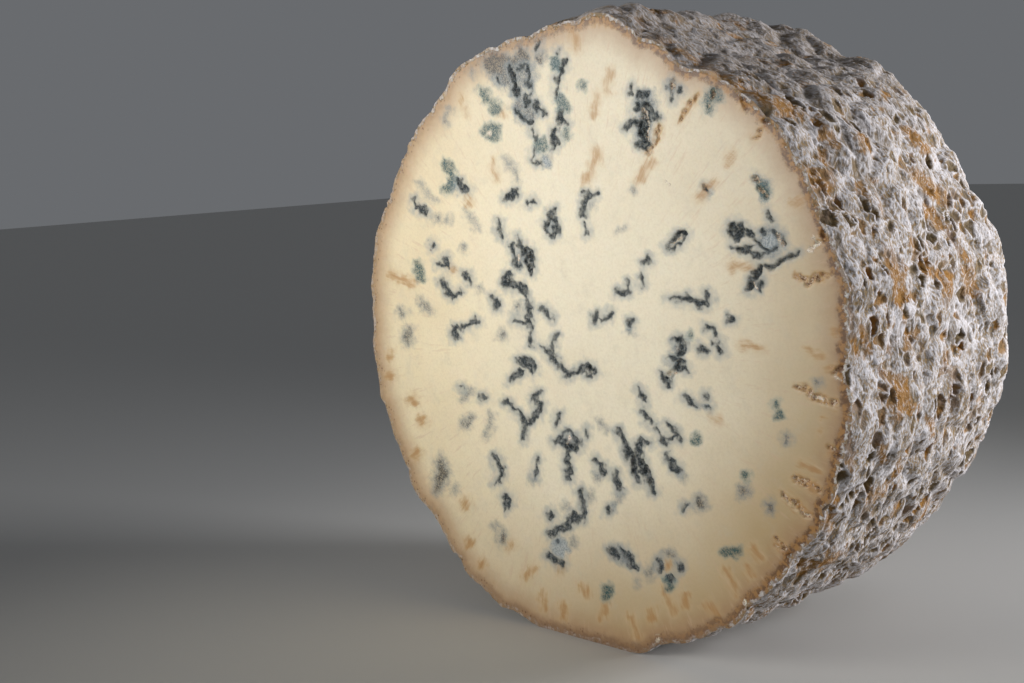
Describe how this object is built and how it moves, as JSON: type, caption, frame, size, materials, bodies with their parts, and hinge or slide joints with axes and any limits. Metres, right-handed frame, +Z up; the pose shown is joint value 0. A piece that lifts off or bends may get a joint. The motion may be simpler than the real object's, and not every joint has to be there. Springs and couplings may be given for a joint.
{
  "type": "stilton",
  "caption": "Cut drum of blue cheese lying on its knobbly rind, with the flat cut face upright in front and the round wall and far end behind it.",
  "frame": {"origin": "on the surface the cheese lies on, under the middle of its bounding box", "axes": "+Z up, +Y along the drum's axis from the cut towards the uncut far end, so that the cut faces -Y, and +X to the right of someone who looks at the cut"},
  "size_m": [0.2038, 0.1094, 0.2034],
  "materials": {
    "paste": "smooth moist cream-coloured cheese cut flat, with blue-green veins, small crevices and a thin brown line inside the rind",
    "rind": "dry rough mould rind, grey-white on its ridges and brown to orange in its pits"
  },
  "bodies": {
    "root": {"stilton": "paste"}
  },
  "joints": []
}
